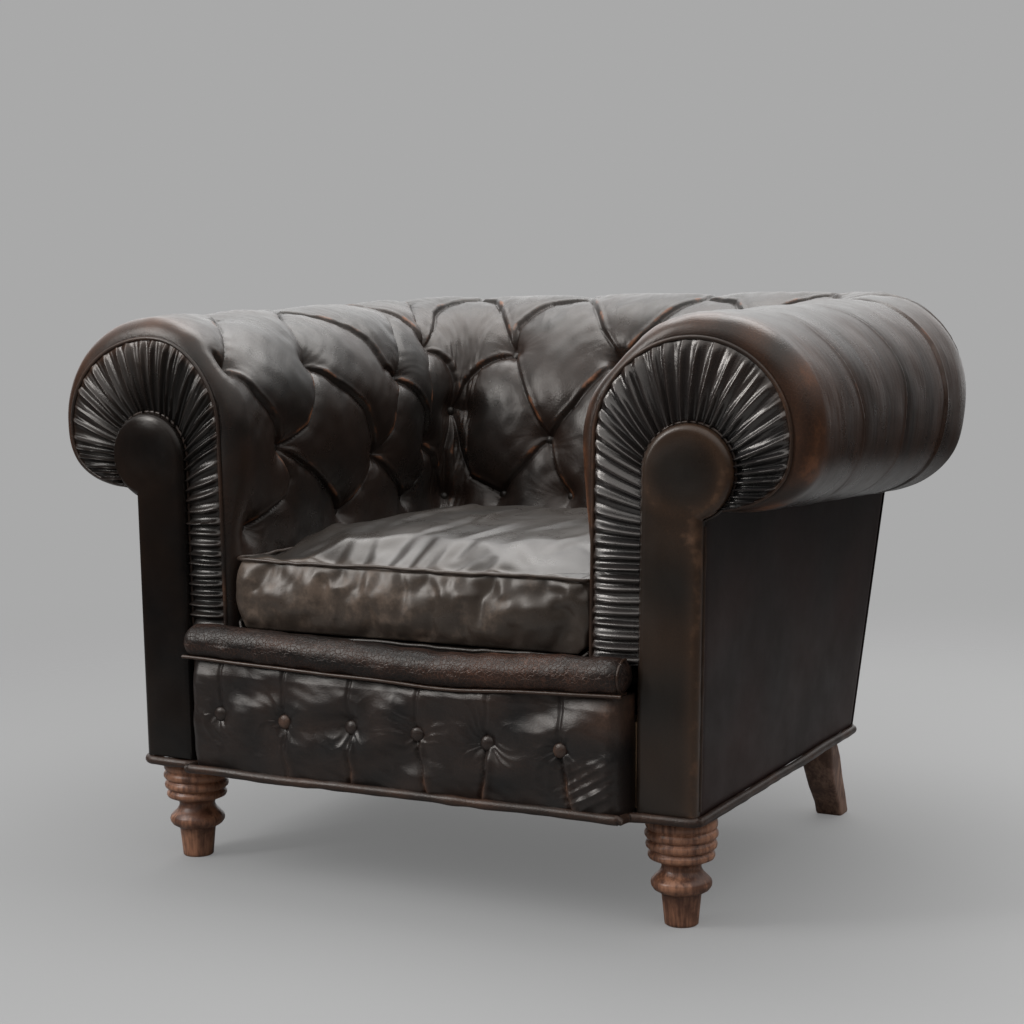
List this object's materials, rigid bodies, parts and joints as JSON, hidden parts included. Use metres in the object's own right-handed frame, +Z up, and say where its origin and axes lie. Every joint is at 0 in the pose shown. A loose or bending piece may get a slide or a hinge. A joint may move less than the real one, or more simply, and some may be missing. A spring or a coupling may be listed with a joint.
{
  "type": "worn club chair",
  "caption": "Worn leather club chair: rolled arms and raked rolled back, deep-buttoned inside, loose seat cushion, pleated arm fronts, turned front feet.",
  "frame": {"origin": "on the floor, under the middle of the chair's width and depth", "axes": "+X to the sitter's left, +Y from the seat's front to its back, +Z up"},
  "size_m": [1.0408, 0.8719, 0.731],
  "materials": {
    "leather": "near-black brown hide, half gloss, rubbed brown on creases, welts and edges",
    "seat_leather": "near-black brown hide gone greyish brown with sitting, soft gloss, creased",
    "facing_leather": "near-black pleated hide, half gloss, rubbed brown at its inner edge",
    "panel_leather": "smooth near-black hide with a red-brown cast, low gloss, scuffed",
    "leg_wood": "turned red-brown hardwood, worn half-gloss polish",
    "frame_wood": "plain sawn beech",
    "jute": "woven jute webbing and hessian",
    "spring_steel": "dull spring wire",
    "dust_cloth": "black cotton dust cloth"
  },
  "bodies": {
    "root": {"left_arm_pad": "leather", "left_pleated_facing": "facing_leather", "left_facing_panel": "panel_leather", "left_outside_arm_panel": "panel_leather", "left_scroll_board": "frame_wood", "left_front_post": "frame_wood", "left_front_foot": "leg_wood", "left_back_leg_post": "leg_wood", "left_side_seat_rail": "frame_wood", "left_arm_top_rail": "frame_wood", "left_arm_stay_rail": "frame_wood", "left_corner_block": "frame_wood", "right_arm_pad": "leather", "right_pleated_facing": "facing_leather", "right_facing_panel": "panel_leather", "right_outside_arm_panel": "panel_leather", "right_scroll_board": "frame_wood", "right_front_post": "frame_wood", "right_front_foot": "leg_wood", "right_back_leg_post": "leg_wood", "right_side_seat_rail": "frame_wood", "right_arm_top_rail": "frame_wood", "right_arm_stay_rail": "frame_wood", "right_corner_block": "frame_wood", "back_pad": "leather", "outside_back_panel": "panel_leather", "back_top_rail": "frame_wood", "back_stay_rail": "frame_wood", "back_seat_rail": "frame_wood", "front_seat_rail": "frame_wood", "web_lengthwise_1": "jute", "web_lengthwise_2": "jute", "web_lengthwise_3": "jute", "web_crosswise_1": "jute", "web_crosswise_2": "jute", "web_crosswise_3": "jute", "seat_spring_1_1": "spring_steel", "seat_spring_1_2": "spring_steel", "seat_spring_1_3": "spring_steel", "seat_spring_2_1": "spring_steel", "seat_spring_2_2": "spring_steel", "seat_spring_2_3": "spring_steel", "seat_spring_3_1": "spring_steel", "seat_spring_3_2": "spring_steel", "seat_spring_3_3": "spring_steel", "spring_hessian": "jute", "seat_deck": "seat_leather", "dust_cover": "dust_cloth", "front_border": "leather", "front_lip": "leather", "seat_cushion": "seat_leather", "base_welt": "leather", "border_button_1": "leather", "border_button_2": "leather", "border_button_3": "leather", "border_button_4": "leather", "border_button_5": "leather", "border_button_6": "leather"}
  },
  "joints": []
}
